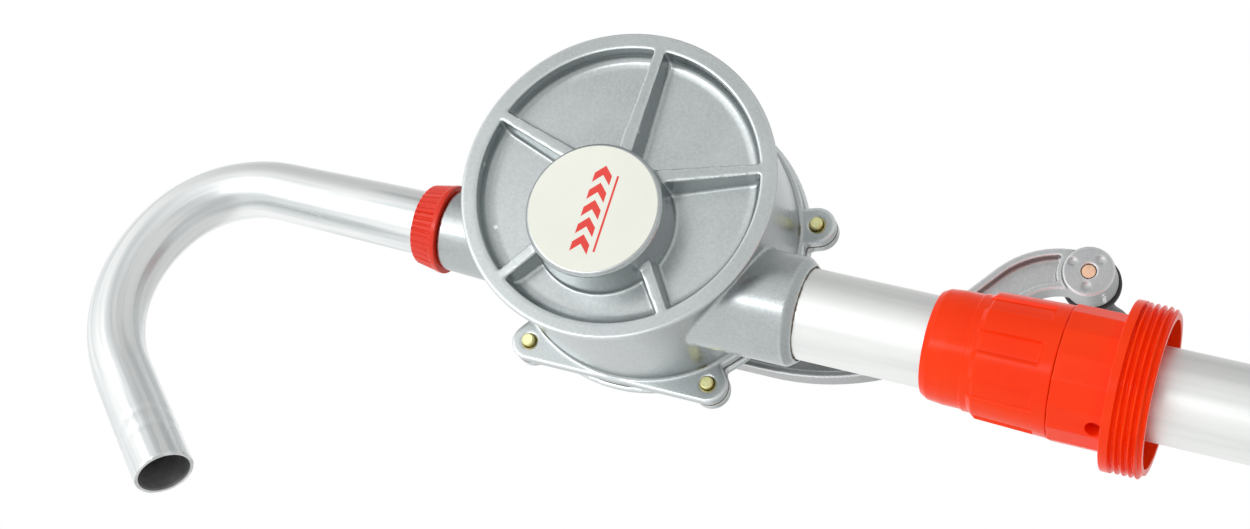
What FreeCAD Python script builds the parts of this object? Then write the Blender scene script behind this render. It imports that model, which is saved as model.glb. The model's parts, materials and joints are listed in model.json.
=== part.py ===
import FreeCAD, Part
import Sketcher
import math
import os
from FreeCAD import Placement, Rotation, Vector

# Hand-cranked rotary vane pump that screws into the 2 inch bung of a drum.
# Frame, in millimetres: +Z points up along the suction tube, the origin lies on the tube's axis in
# the plane of the drum top, where the adapter's thread begins, and the round face looks towards -Y.

doc = FreeCAD.newDocument("drum_barrel_pump")

# ---------------------------------------------------------------------------- driving dimensions
SIZES = [
    # bung adapter and its gland
    ("bung_thread_radius", 29.8, "crest radius of the 2 inch pipe thread"),
    ("bung_thread_root", 28.35, "root radius of the thread"),
    ("bung_thread_pitch", 2.309, "11 threads to the inch"),
    ("bung_thread_length", 11.3, "thread below the stop ring"),
    ("stop_ring_radius", 30.0, "ring that stops the thread"),
    ("stop_ring_height", 3.3, "thickness of the ring"),
    ("adapter_radius", 24.2, "body above the ring"),
    ("adapter_top", 22.7, "top of the body"),
    ("adapter_bore", 16.9, "guide bore for the suction tube"),
    ("spigot_radius", 19.3, "threaded spigot inside the gland nut"),
    ("spigot_top", 44.0, "top of the spigot, seat of the seal"),
    ("cavity_radius", 26.0, "open underside of the adapter"),
    ("guide_radius", 19.4, "outside of the guide sleeve in the open underside"),
    ("vent_radius", 2.9, "vent hole of the drum"),
    ("vent_height", 6.5, "height of the vent hole"),
    ("underside_roof", 1.5, "roof of the open underside, above the drum top"),
    ("guide_rise", 4.0, "foot of the guide sleeve, above the foot of the thread"),
    ("vent_direction", 211.0, "direction of the vent hole, in degrees from +X"),
    ("nut_bottom", 22.9, "lower edge of the gland nut"),
    ("nut_grip_top", 49.4, "upper end of the padded grip part"),
    ("nut_shoulder", 55.8, "inner shoulder of the gland nut"),
    ("nut_top", 69.0, "upper end of the gland nut"),
    ("nut_bottom_radius", 23.4, "grip part, lower end"),
    ("nut_grip_radius", 22.5, "grip part, upper end"),
    ("nut_neck_radius", 20.4, "neck above the grip part"),
    ("nut_top_radius", 18.9, "neck, upper end"),
    ("nut_bore", 17.2, "hole for the suction tube"),
    ("nut_flute_radius", 5.0, "round tool of the grooves between the grip pads"),
    ("washer_thickness", 1.5, "thrust washer on the seal"),
    # suction tube
    ("tube_radius", 16.6, "1 inch pipe, 33.2 mm outside"),
    ("tube_wall", 1.6, "wall of the suction tube"),
    ("tube_top", 138.0, "upper end, inside the inlet socket"),
    ("joint_upper", -240.0, "joint between upper and middle section"),
    ("joint_lower", -560.0, "joint between middle and lower section"),
    ("tube_foot", -850.0, "open foot of the suction tube"),
    ("coupler_radius", 18.9, "outside of the tube couplers"),
    ("coupler_half", 22.0, "half length of a coupler"),
    ("coupler_chamfer", 0.8, "chamfer at each end of a coupler"),
    ("tube_thread", 16.0, "thread on a tube section, inside its coupler"),
    ("tube_gap", 1.0, "gap between two tube sections inside their coupler"),
    # pump casing, whose own axis is level
    ("chamber_x", 23.5, "chamber axis, sideways from the tube axis"),
    ("chamber_z", 189.0, "chamber axis above the drum top"),
    ("chamber_radius", 50.5, "bore that the vanes sweep"),
    ("chamber_front", 17.5, "front wall, inner face"),
    ("floor_front", 22.5, "front wall, outer face"),
    ("rim_front", 29.9, "front edge of the rim"),
    ("rim_radius", 58.4, "rim, outside"),
    ("rim_inner", 52.2, "rim, inside"),
    ("drum_radius", 55.0, "side wall, outside"),
    ("flange_front", 29.9, "front face of the casing flange, behind the middle plane"),
    ("flange_back", 34.9, "back face of the casing flange"),
    ("flange_radius", 57.0, "round part of the casing flange"),
    ("screw_circle", 61.5, "radius of the circle of cover screws"),
    ("lug_radius", 7.0, "rounded end of a screw lug"),
    ("screw_radius", 2.5, "M5 cover screws"),
    ("screw_hole", 2.6, "holes for the cover screws"),
    ("rib_width", 4.2, "ribs on the front wall"),
    ("eccentricity", 14.2, "rotor axis, sideways from the chamber axis"),
    ("rotor_rise", 1.6, "rotor axis, above the chamber axis"),
    ("boss_base", 25.8, "front bearing boss at the wall"),
    ("boss_shoulder", 25.1, "front bearing boss below its rounded edge"),
    ("boss_face", 23.9, "flat face of the boss"),
    ("boss_front", 39.7, "front face of the boss"),
    ("boss_round", 1.2, "rounded edge of the boss"),
    ("journal_radius", 15.0, "rotor journals"),
    ("bush_bore", 15.05, "bearing bushes, inside"),
    ("bush_radius", 18.0, "bearing bushes, outside"),
    ("inlet_radius", 20.0, "inlet socket, outside"),
    ("inlet_end", 116.0, "lower end of the inlet socket"),
    ("inlet_seat", 139.5, "seat for the tube's upper end"),
    ("inlet_port", 13.0, "inlet port"),
    ("outlet_offset", 1.3, "outlet axis, sideways from the tube axis"),
    ("outlet_radius", 13.6, "outlet stub, thread"),
    ("outlet_root_radius", 15.6, "outlet stub at the casing"),
    ("outlet_top", 260.5, "top of the outlet stub"),
    ("outlet_port", 10.5, "outlet port"),
    ("label_radius", 23.6, "label disc on the boss"),
    ("label_thickness", 0.4, "label disc"),
    # cover at the back
    ("gasket_thickness", 0.5, "gasket between casing and cover"),
    ("cover_thickness", 5.0, "cover plate"),
    ("cover_radius", 58.2, "round part of the cover plate"),
    ("cover_boss_radius", 22.0, "rear bearing boss"),
    ("cover_boss_back", 51.0, "back face of the rear boss"),
    ("packing_radius", 11.0, "recess of the shaft packing"),
    ("packing_front", 46.8, "floor of the packing recess"),
    ("screw_head_height", 3.5, "heads of the cover screws"),
    ("screw_tip", 27.5, "tips of the cover screws, in front of the flange"),
    # rotor and vanes
    ("rotor_radius", 35.9, "rotor"),
    ("rotor_front", 17.35, "rotor, front face"),
    ("rotor_back", 35.25, "rotor, back face"),
    ("slot_width", 5.2, "slot through the rotor"),
    ("vane_thickness", 5.0, "vanes"),
    ("tip_clearance", 0.15, "gap between vane and chamber at rest"),
    ("spreader_radius", 2.5, "elastic rod that pushes the vanes apart"),
    ("shaft_radius", 7.0, "drive shaft"),
    ("shaft_front", 37.0, "front end of the drive shaft, inside the rotor hub"),
    ("shaft_back", 70.8, "rear end of the drive shaft"),
    # crank
    ("crank_front", 57.0, "front face of the crank arm"),
    ("crank_thickness", 10.0, "crank arm"),
    ("crank_half_width", 8.0, "half width of the arm"),
    ("crank_border", 2.8, "raised border of the arm"),
    ("crank_relief", 4.0, "depth of the pocket on each side of the arm"),
    ("hub_radius", 13.0, "crank hub"),
    ("hub_back", 71.0, "back face of the crank hub"),
    ("knob_x", 45.7, "handle axis, sideways from the shaft"),
    ("knob_z", -157.8, "handle axis, above the shaft"),
    ("knob_front", 55.1, "front face of the handle boss"),
    ("knob_radius", 9.75, "handle boss, front"),
    ("knob_back", 68.0, "back face of the handle boss"),
    ("grip_end", 163.0, "free end of the handle"),
    ("grip_collar", 11.2, "handle, collar next to the crank"),
    ("grip_neck", 6.4, "handle, slender part"),
    ("grip_belly", 12.2, "handle, thickest part"),
    ("grip_recess", 7.2, "handle, recess at its free end"),
    ("spindle_radius", 4.0, "handle spindle"),
    # spout and its union nut
    ("spout_root_radius", 12.1, "spout above the union nut"),
    ("spout_radius", 11.0, "spout at the bend"),
    ("spout_wall", 1.3, "wall of the spout"),
    ("spout_bend_start", 328.0, "height where the bend begins"),
    ("spout_first_radius", 42.0, "first half of the bend"),
    ("spout_second_radius", 59.0, "second half of the bend"),
    ("spout_bend_angle", 136.0, "turn of the spout, half of it on each radius"),
    ("spout_run", 49.0, "straight run to the open end"),
    ("spout_turn", 15.0, "how far the spout is swung towards the front"),
    ("lip_radius", 13.1, "lip of the spout under the union nut"),
    ("union_radius", 16.8, "union nut, rim at its lower edge"),
    ("union_top_radius", 15.0, "union nut, upper edge"),
    ("union_bottom", 256.4, "union nut, lower edge"),
    ("union_top", 267.2, "union nut, upper edge"),
    ("union_thread", 13.9, "union nut, inside"),
    ("union_bore", 12.7, "hole for the spout"),
    ("union_flute", 0.7, "radius of the knurl's grooves"),
    ("union_web", 1.5, "union nut, thickness above its shoulder"),
    ("lip_thickness", 2.5, "lip of the spout"),
    ("outlet_seal_thickness", 1.0, "seal under the lip"),
    # small parts
    ("lug_start", 45.0, "where the lugs begin, from the chamber axis"),
    ("screw_head_across", 8.0, "cover screw head, across its flats"),
    ("packing_nut_across", 28.0, "packing nut, across its flats"),
    ("packing_nut_height", 5.0, "packing nut"),
    ("bolt_radius", 3.1, "M6 bolt that holds the crank"),
    ("bolt_length", 13.0, "bolt under its head"),
    ("bolt_head_across", 10.0, "bolt head, across its flats"),
    ("bolt_head_height", 4.5, "bolt head"),
    ("crank_washer_radius", 9.0, "washer under the bolt"),
    ("crank_washer_thickness", 1.5, "washer under the bolt"),
    ("ejector_mark_radius", 1.7, "sunk marks on the knob"),
    ("ejector_mark_depth", 0.5, "sunk marks on the knob"),
    ("rivet_radius", 2.6, "end of the grip's spindle that is riveted in the knob"),
    ("spindle_head_radius", 6.8, "head of the grip's spindle"),
]

sheet = doc.addObject("Spreadsheet::Sheet", "Sizes")
for line, (alias, number, meaning) in enumerate(SIZES, start=1):
    sheet.set(f"A{line}", meaning)
    sheet.set(f"B{line}", str(number))
    sheet.setAlias(f"B{line}", alias)
doc.recompute()


class Length:
    """A length that carries both its value and the sheet expression that it comes from."""

    def __init__(self, value, text):
        self.value = value
        self.text = text

    def combine(self, other, sign, result):
        return Length(result(self.value, value_of(other)), f"({self.text} {sign} {text_of(other)})")

    def __add__(self, other):
        return self.combine(other, "+", lambda a, b: a + b)

    def __sub__(self, other):
        return self.combine(other, "-", lambda a, b: a - b)

    def __mul__(self, other):
        return self.combine(other, "*", lambda a, b: a * b)

    def __truediv__(self, other):
        return self.combine(other, "/", lambda a, b: a / b)

    def __neg__(self):
        return Length(-self.value, f"(-{self.text})")


def value_of(length):
    return length.value if isinstance(length, Length) else float(length)


def text_of(length):
    return length.text if isinstance(length, Length) else str(float(length))


class Sheet:
    """Sizes by name, such as size.tube_radius."""

    def __getattr__(self, alias):
        return Length(float(sheet.get(alias)), f"Sizes.{alias}")


size = Sheet()
NOTHING = Length(0.0, "0.0")

# ---------------------------------------------------------------------------- frames
# Inside a level frame, local z runs towards the front (-Y), local x is +X and local y is +Z.
FACING = Rotation(Vector(1, 0, 0), 90)
UPRIGHT = Rotation()

chamber_x = value_of(size.chamber_x)
chamber_z = value_of(size.chamber_z)
rotor_x = value_of(size.chamber_x - size.eccentricity)
rotor_z = value_of(size.chamber_z + size.rotor_rise)
rotor_lean = math.degrees(math.atan2(value_of(size.rotor_rise), value_of(size.eccentricity)))
CHAMBER = Placement(Vector(chamber_x, 0, chamber_z), FACING)
SHAFT = Placement(Vector(rotor_x, 0, rotor_z), FACING)
ROTOR = SHAFT * Placement(Vector(0, 0, 0), Rotation(Vector(0, 0, 1), -rotor_lean))
KNOB = SHAFT * Placement(Vector(value_of(size.knob_x), value_of(size.knob_z), 0), UPRIGHT)
TUBE = Placement(Vector(0, 0, 0), UPRIGHT)
OUTLET = Placement(Vector(value_of(size.outlet_offset), 0, 0), UPRIGHT)
SPOUT = Placement(
    Vector(value_of(size.outlet_offset), 0, 0), Rotation(Vector(0, 0, 1), value_of(size.spout_turn))
)
ALONG_X = Rotation(Vector(0, 1, 0), 90)
ALONG_Y = Rotation(Vector(1, 0, 0), -90)
AGAINST_Y = Rotation(Vector(1, 0, 0), 90)

pieces = []


# ---------------------------------------------------------------------------- building blocks
def bind(obj, **lengths):
    """Set properties of an object and tie them to the sheet."""
    for name, length in lengths.items():
        setattr(obj, name, value_of(length))
        if isinstance(length, Length):
            obj.setExpression(name, length.text)
    return obj


def cylinder(name, radius, height, base=(0, 0, 0), turn=UPRIGHT):
    rod = doc.addObject("Part::Cylinder", name)
    rod.Placement = Placement(Vector(*[value_of(part) for part in base]), turn)
    return bind(rod, Radius=radius, Height=height)


def cone(name, first, second, height, base=(0, 0, 0), turn=UPRIGHT):
    tapered = doc.addObject("Part::Cone", name)
    tapered.Placement = Placement(Vector(*[value_of(part) for part in base]), turn)
    return bind(tapered, Radius1=first, Radius2=second, Height=height)


def block(name, length, width, height, corner):
    box = doc.addObject("Part::Box", name)
    box.Placement = Placement(Vector(*[value_of(part) for part in corner]), UPRIGHT)
    return bind(box, Length=length, Width=width, Height=height)


def hexagon(name, across_flats, height, base=(0, 0, 0)):
    prism = doc.addObject("Part::Prism", name)
    prism.Polygon = 6
    prism.Placement = Placement(Vector(*[value_of(part) for part in base]), UPRIGHT)
    return bind(prism, Circumradius=across_flats / math.sqrt(3), Height=height)


def fused(name, *parts):
    union = doc.addObject("Part::MultiFuse", name)
    union.Shapes = list(parts)
    return union


def cut(name, whole, tool):
    rest = doc.addObject("Part::Cut", name)
    rest.Base = whole
    rest.Tool = tool
    return rest


def fixed(name, shape):
    """A shape that the sheet's values shape through this file's own code."""
    feature = doc.addObject("Part::Feature", name)
    feature.Shape = shape
    return feature


def piece(obj, label, frame=TUBE):
    """Mark an object as one physical piece, named and placed in its frame."""
    obj.Label = label
    obj.Placement = frame
    pieces.append(obj)
    return obj


def outline(body, name, points):
    """Closed outline on a body's own XZ plane, each corner tied to the sheet."""
    sketch = body.newObject("Sketcher::SketchObject", name)
    plane = next(part for part in body.Origin.OriginFeatures if part.Role == "XZ_Plane")
    sketch.AttachmentSupport = [(plane, "")]
    sketch.MapMode = "FlatFace"
    corners = [Vector(value_of(across), value_of(up), 0) for across, up in points]
    for first, second in zip(corners, corners[1:] + corners[:1]):
        sketch.addGeometry(Part.LineSegment(first, second), False)
    count = len(points)
    for index, (across, up) in enumerate(points):
        sketch.addConstraint(Sketcher.Constraint("Coincident", (index - 1) % count, 2, index, 1))
        for kind, length in (("DistanceX", across), ("DistanceY", up)):
            made = sketch.addConstraint(Sketcher.Constraint(kind, -1, 1, index, 1, value_of(length)))
            if isinstance(length, Length):
                sketch.setExpression(f"Constraints[{made}]", length.text)
    return sketch


def turned(name, points):
    """Body of revolution about local z; the outline is a list of (radius, height)."""
    body = doc.addObject("PartDesign::Body", name)
    sketch = outline(body, name + "_outline", points)
    spin = body.newObject("PartDesign::Revolution", name + "_turned")
    spin.Profile = sketch
    spin.ReferenceAxis = (sketch, ["V_Axis"])
    spin.Angle = 360
    return body


def ring(name, inner, outer, low, high):
    """Plain ring about local z."""
    return turned(name, [(inner, low), (outer, low), (outer, high), (inner, high)])


def around(count, offset=0.0):
    """Evenly spaced directions, as unit vectors with their angle in degrees."""
    for index in range(count):
        angle = offset + 360.0 * index / count
        yield index, angle, Vector(math.cos(math.radians(angle)), math.sin(math.radians(angle)), 0)


# ---------------------------------------------------------------------------- adapter and gland
THREAD_TURNS = 5


def bung_adapter():
    thread = [(size.bung_thread_root, NOTHING)]
    for turn in range(THREAD_TURNS):
        low = NOTHING - size.bung_thread_pitch * (turn + 0.70)
        if turn > 0:
            thread.append((size.bung_thread_root, low + size.bung_thread_pitch * 0.65))
        thread += [
            (size.bung_thread_root, low + size.bung_thread_pitch * 0.5),
            (size.bung_thread_radius, low + size.bung_thread_pitch * 0.15),
            (size.bung_thread_radius, low - size.bung_thread_pitch * 0.15),
        ]
    foot = NOTHING - size.bung_thread_length
    outline_points = [
        (size.adapter_bore, foot + size.guide_rise),
        (size.guide_radius, foot + size.guide_rise),
        (size.guide_radius, size.underside_roof),
        (size.cavity_radius, size.underside_roof),
        (size.cavity_radius, foot),
        (size.bung_thread_root, foot),
        *reversed(thread),
        (size.stop_ring_radius, NOTHING),
        (size.stop_ring_radius, size.stop_ring_height),
        (size.adapter_radius, size.stop_ring_height),
        (size.adapter_radius, size.adapter_top),
        (size.spigot_radius, size.adapter_top),
        (size.spigot_radius, size.spigot_top),
        (size.adapter_bore, size.spigot_top),
    ]
    body = turned("adapter_turned_part", outline_points)
    sideways = Rotation(Vector(0, 0, 1), value_of(size.vent_direction)) * ALONG_X
    vent = cylinder("adapter_vent", size.vent_radius, 30.0, (0, 0, size.vent_height), sideways)
    piece(cut("bung_adapter_solid", body, vent), "bung_adapter")


def gland_nut():
    body = turned("gland_nut_turned_part", [
        (size.spigot_radius + 0.3, size.nut_bottom),
        (size.nut_bottom_radius, size.nut_bottom),
        (size.nut_grip_radius, size.nut_grip_top),
        (size.nut_neck_radius + 0.5, size.nut_grip_top + 2.0),
        (size.nut_neck_radius + 0.5, size.nut_grip_top + 4.5),
        (size.nut_neck_radius, size.nut_grip_top + 4.7),
        (size.nut_neck_radius, size.nut_top - 8.0),
        (size.nut_top_radius + 0.9, size.nut_top - 2.5),
        (size.nut_top_radius - 0.4, size.nut_top),
        (size.nut_bore, size.nut_top),
        (size.nut_bore, size.nut_shoulder),
        (size.spigot_radius + 0.3, size.nut_shoulder),
    ])
    flutes = []
    depth = size.nut_bottom_radius + size.nut_flute_radius - 1.3
    for index, _, out in around(10):
        centre = out * value_of(depth)
        base = (centre.x, centre.y, size.nut_bottom - 1.0)
        flutes.append(cylinder(f"nut_flute_{index}", size.nut_flute_radius, 22.0, base))
    piece(cut("gland_nut_solid", body, fused("nut_flutes", *flutes)), "gland_nut")


def gland_parts():
    seal_top = size.nut_shoulder - size.washer_thickness - 0.1
    piece(ring("gland_seal_body", size.tube_radius + 0.05, size.spigot_radius - 0.5,
               size.spigot_top + 0.05, seal_top), "gland_seal")
    piece(ring("gland_washer_body", size.nut_bore, size.spigot_radius - 0.2,
               seal_top + 0.05, size.nut_shoulder - 0.05), "gland_washer")


# ---------------------------------------------------------------------------- suction tube
def tube_section(label, low, high, threaded_low, threaded_high):
    """A length of the suction tube, turned down to its thread where it enters a coupler."""
    inner = size.tube_radius - size.tube_wall
    low_end, high_end = low, high
    outside = []
    if threaded_low:
        low_end = low + size.tube_gap / 2
        thread_end = low + size.coupler_half
        outside += [(size.tube_thread, low_end), (size.tube_thread, thread_end),
                    (size.tube_radius, thread_end)]
    else:
        outside.append((size.tube_radius, low_end))
    if threaded_high:
        high_end = high - size.tube_gap / 2
        thread_end = high - size.coupler_half
        outside += [(size.tube_radius, thread_end), (size.tube_thread, thread_end),
                    (size.tube_thread, high_end)]
    else:
        outside.append((size.tube_radius, high_end))
    piece(turned(label + "_body", [(inner, low_end), *outside, (inner, high_end)]), label)


def tube_coupler(label, joint):
    low = joint - size.coupler_half
    high = joint + size.coupler_half
    edge = size.coupler_radius - size.coupler_chamfer
    piece(turned(label + "_body", [
        (size.tube_thread, low),
        (edge, low),
        (size.coupler_radius, low + size.coupler_chamfer),
        (size.coupler_radius, high - size.coupler_chamfer),
        (edge, high),
        (size.tube_thread, high),
    ]), label)


def suction_tube():
    tube_section("suction_tube_upper", size.joint_upper, size.tube_top, True, False)
    tube_section("suction_tube_middle", size.joint_lower, size.joint_upper, True, True)
    tube_section("suction_tube_lower", size.tube_foot, size.joint_lower, False, True)
    tube_coupler("tube_coupler_upper", size.joint_upper)
    tube_coupler("tube_coupler_lower", size.joint_lower)
    inner = size.tube_radius - size.tube_wall
    piece(ring("tube_seal_body", inner, size.tube_radius, size.tube_top, size.inlet_seat), "tube_seal")


# ---------------------------------------------------------------------------- casing
def lugs(prefix, low, thickness):
    """Five screw lugs about the chamber axis, each a rounded bar."""
    parts = []
    for index, angle, out in around(5):
        tip = out * value_of(size.screw_circle)
        parts.append(cylinder(f"{prefix}_lug_{index}", size.lug_radius, thickness, (tip.x, tip.y, low)))
        bar = block(f"{prefix}_bar_{index}", size.screw_circle - size.lug_start, size.lug_radius * 2,
                    thickness, (0, 0, 0))
        across = Vector(-out.y, out.x, 0) * -value_of(size.lug_radius)
        start = out * value_of(size.lug_start) + across + Vector(0, 0, value_of(low))
        bar.Placement = Placement(start, Rotation(Vector(0, 0, 1), angle))
        parts.append(bar)
    return parts


def screw_holes(prefix):
    holes = []
    for index, _, out in around(5):
        tip = out * value_of(size.screw_circle)
        holes.append(cylinder(f"{prefix}_screw_hole_{index}", size.screw_hole, 30.0,
                              (tip.x, tip.y, -size.flange_back - 12.0)))
    return holes


def body_casing():
    shell = turned("casing_drum", [
        (NOTHING, -size.flange_back),
        (size.flange_radius, -size.flange_back),
        (size.flange_radius, -size.flange_front),
        (size.drum_radius, -size.flange_front),
        (size.drum_radius, size.rim_front - 6.0),
        (size.drum_radius + 1.2, size.rim_front - 4.6),
        (size.rim_radius - 0.6, size.rim_front - 3.4),
        (size.rim_radius, size.rim_front - 2.8),
        (size.rim_radius, size.rim_front - 0.5),
        (size.rim_radius - 0.5, size.rim_front),
        (size.rim_inner + 0.4, size.rim_front),
        (size.rim_inner, size.rim_front - 0.4),
        (size.rim_inner - 0.6, size.floor_front + 1.2),
        (size.rim_inner - 1.8, size.floor_front),
        (NOTHING, size.floor_front),
    ])
    edge_x = -(size.screw_circle * math.cos(math.radians(36)) + size.lug_radius)
    edge_y = size.screw_circle * math.sin(math.radians(36))
    straight_edge = block("casing_straight_edge", 20.0, edge_y * 2, size.flange_back - size.flange_front,
                          (edge_x, -edge_y, -size.flange_back))
    ribs = []
    for index, angle, _ in around(5):
        rib = wedge_rib(index)
        rib.Placement = Placement(Vector(0, 0, 0), Rotation(Vector(0, 0, 1), angle))
        ribs.append(rib)
    boss_x = -size.eccentricity
    boss_height = size.boss_front - size.floor_front - size.boss_round
    boss_y = size.rotor_rise
    boss = cone("casing_boss", size.boss_base, size.boss_shoulder, boss_height,
                (boss_x, boss_y, size.floor_front))
    boss_edge = cone("casing_boss_edge", size.boss_shoulder, size.boss_face, size.boss_round,
                     (boss_x, boss_y, size.boss_front - size.boss_round))
    inlet_x = -size.chamber_x
    inlet_length = size.chamber_z - size.inlet_end
    inlet = cylinder("casing_inlet", size.inlet_radius, inlet_length - 3.0, (inlet_x, 0, 0), AGAINST_Y)
    inlet_edge = cone("casing_inlet_edge", size.inlet_radius, size.inlet_radius - 2.2, 3.0,
                      (inlet_x, -inlet_length + 3.0, 0), AGAINST_Y)
    outlet_x = size.outlet_offset - size.chamber_x
    outlet = cylinder("casing_outlet", size.outlet_radius, size.outlet_top - size.chamber_z,
                      (outlet_x, 0, 0), ALONG_Y)
    outlet_root = cone("casing_outlet_root", size.outlet_root_radius + 1.0, size.outlet_root_radius - 0.6,
                       size.union_bottom - size.chamber_z - 30.5, (outlet_x, 30.0, 0), ALONG_Y)
    flange_lugs = lugs("casing", -size.flange_back, size.flange_back - size.flange_front)
    solid = fused("casing_outside", shell, straight_edge, boss, boss_edge, inlet, inlet_edge, outlet,
                  outlet_root, *ribs, *flange_lugs)
    chamber = cylinder("casing_chamber", size.chamber_radius, size.chamber_front + size.flange_back + 1.0,
                       (0, 0, -size.flange_back - 1.0))
    pocket = cylinder("casing_bearing_pocket", size.bush_radius, size.boss_front - size.chamber_front - 4.5,
                      (boss_x, boss_y, size.chamber_front - 0.5))
    socket = cylinder("casing_tube_socket", size.tube_radius + 0.05, size.inlet_seat - size.inlet_end + 1.0,
                      (inlet_x, size.inlet_end - size.chamber_z - 1.0, 0), ALONG_Y)
    inlet_port = cylinder("casing_inlet_port", size.inlet_port, 50.0,
                          (inlet_x, size.inlet_end - size.chamber_z, 0), ALONG_Y)
    outlet_port = cylinder("casing_outlet_port", size.outlet_port, 60.0, (outlet_x, 20.0, 0), ALONG_Y)
    hollow = fused("casing_hollows", chamber, pocket, socket, inlet_port, outlet_port,
                   *screw_holes("casing"))
    piece(cut("body_casing_solid", solid, hollow), "body_casing", CHAMBER)


def wedge_rib(index):
    """Rib on the front wall, from the boss to the rim, a little higher at the boss."""
    low = value_of(size.floor_front) - 0.5
    rim = value_of(size.rim_front)
    inner, outer = 6.0, value_of(size.rim_inner) + 0.5
    foot = value_of(size.rib_width) / 2 + 0.6
    top = value_of(size.rib_width) / 2 - 0.2
    ends = []
    for reach, high in ((inner, rim + 3.0), (outer, rim)):
        ends.append(Part.makePolygon([
            Vector(reach, -foot, low), Vector(reach, foot, low), Vector(reach, top, high),
            Vector(reach, -top, high), Vector(reach, -foot, low),
        ]))
    return fixed(f"casing_rib_{index}", Part.makeLoft(ends, True, True))


def label_disc():
    piece(ring("label_disc_body", NOTHING, size.label_radius, size.boss_front,
               size.boss_front + size.label_thickness), "label_disc", ROTOR)


# ---------------------------------------------------------------------------- cover side
def cover_gasket():
    disc = cylinder("gasket_round", size.flange_radius, size.gasket_thickness,
                    (0, 0, -size.flange_back - size.gasket_thickness))
    sheet_parts = lugs("gasket", -size.flange_back - size.gasket_thickness, size.gasket_thickness)
    opening = cylinder("gasket_opening", size.chamber_radius, 3.0, (0, 0, -size.flange_back - 2.0))
    solid = fused("gasket_outside", disc, *sheet_parts)
    hollow = fused("gasket_hollows", opening, *screw_holes("gasket"))
    piece(cut("cover_gasket_solid", solid, hollow), "cover_gasket", CHAMBER)


def rear_cover():
    face = -size.flange_back - size.gasket_thickness
    back = face - size.cover_thickness
    plate = turned("cover_plate", [
        (NOTHING, face), (size.cover_radius, face), (size.cover_radius, back + 1.5),
        (size.cover_radius - 1.5, back), (NOTHING, back),
    ])
    boss_x, boss_y = -size.eccentricity, size.rotor_rise
    boss = cone("cover_boss", size.cover_boss_radius, size.cover_boss_radius + 1.2,
                size.cover_boss_back + back, (boss_x, boss_y, -size.cover_boss_back))
    solid = fused("cover_outside", plate, boss, *lugs("cover", back, size.cover_thickness))
    bearing = cylinder("cover_bearing_pocket", size.bush_radius, size.packing_front + face,
                       (boss_x, boss_y, -size.packing_front))
    packing = cylinder("cover_packing_recess", size.packing_radius, 10.0,
                       (boss_x, boss_y, -size.cover_boss_back - 1.0))
    hollow = fused("cover_hollows", bearing, packing, *screw_holes("cover"))
    piece(cut("rear_cover_solid", solid, hollow), "rear_cover", CHAMBER)


def cover_screws():
    head_face = -size.flange_back - size.gasket_thickness - size.cover_thickness
    screws = []
    for index, _, out in around(5):
        tip = out * value_of(size.screw_circle)
        head = hexagon(f"screw_head_{index}", size.screw_head_across, size.screw_head_height,
                       (tip.x, tip.y, head_face - size.screw_head_height))
        shank = cylinder(f"screw_shank_{index}", size.screw_radius, -head_face - size.screw_tip - 0.6,
                         (tip.x, tip.y, head_face))
        point = cone(f"screw_point_{index}", size.screw_radius, size.screw_radius - 0.6, 0.6,
                     (tip.x, tip.y, -size.screw_tip - 0.6))
        screws.append(fused(f"screw_{index}", head, shank, point))
    group = doc.addObject("Part::Compound", "cover_screws_group")
    group.Links = screws
    piece(group, "cover_screws", CHAMBER)


def bearings_and_packing():
    piece(ring("front_bush_body", size.bush_bore, size.bush_radius, size.rotor_front + 0.15,
               size.boss_front - 5.0), "front_bush", ROTOR)
    piece(ring("rear_bush_body", size.bush_bore, size.bush_radius, -size.packing_front + 0.3,
               -size.rotor_back - 0.3), "rear_bush", ROTOR)
    piece(ring("shaft_packing_body", size.shaft_radius + 0.05, size.packing_radius - 0.05,
               -size.cover_boss_back + 1.2, -size.packing_front - 0.2), "shaft_packing", ROTOR)
    spigot = cylinder("packing_nut_spigot", size.packing_radius - 0.2, 1.1,
                      (0, 0, -size.cover_boss_back))
    head = hexagon("packing_nut_head", size.packing_nut_across, size.packing_nut_height,
                   (0, 0, -size.cover_boss_back - size.packing_nut_height))
    hole = cylinder("packing_nut_hole", size.shaft_radius + 0.4, 12.0,
                    (0, 0, -size.cover_boss_back - size.packing_nut_height - 1.0))
    piece(cut("packing_nut_solid", fused("packing_nut_outside", spigot, head), hole), "packing_nut", ROTOR)


# ---------------------------------------------------------------------------- rotor and vanes
def rotor():
    drum = cylinder("rotor_drum", size.rotor_radius, size.rotor_front + size.rotor_back,
                    (0, 0, -size.rotor_back))
    slot = block("rotor_slot", size.slot_width, size.rotor_radius * 2 + 2.0,
                 size.rotor_front + size.rotor_back,
                 (-size.slot_width / 2, -size.rotor_radius - 1.0, -size.rotor_back))
    front = cylinder("rotor_front_journal", size.journal_radius, size.boss_front - size.rotor_front - 5.7,
                     (0, 0, size.rotor_front))
    rear = cylinder("rotor_rear_hub", size.journal_radius, size.packing_front - size.rotor_back - 0.3,
                    (0, 0, -size.packing_front + 0.3))
    bore = cylinder("rotor_shaft_bore", size.shaft_radius, 20.0, (0, 0, -size.shaft_front - 20.0))
    split = cut("rotor_split_drum", drum, slot)
    piece(cut("rotor_solid", fused("rotor_outside", split, front, rear), bore), "rotor", ROTOR)
    length = size.shaft_back - size.shaft_front
    rod = cylinder("shaft_rod", size.shaft_radius, length, (0, 0, -size.shaft_back))
    hole = cylinder("shaft_screw_hole", size.bolt_radius + 0.1, 12.0, (0, 0, -size.shaft_back))
    piece(cut("drive_shaft_solid", rod, hole), "drive_shaft", ROTOR)


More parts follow.
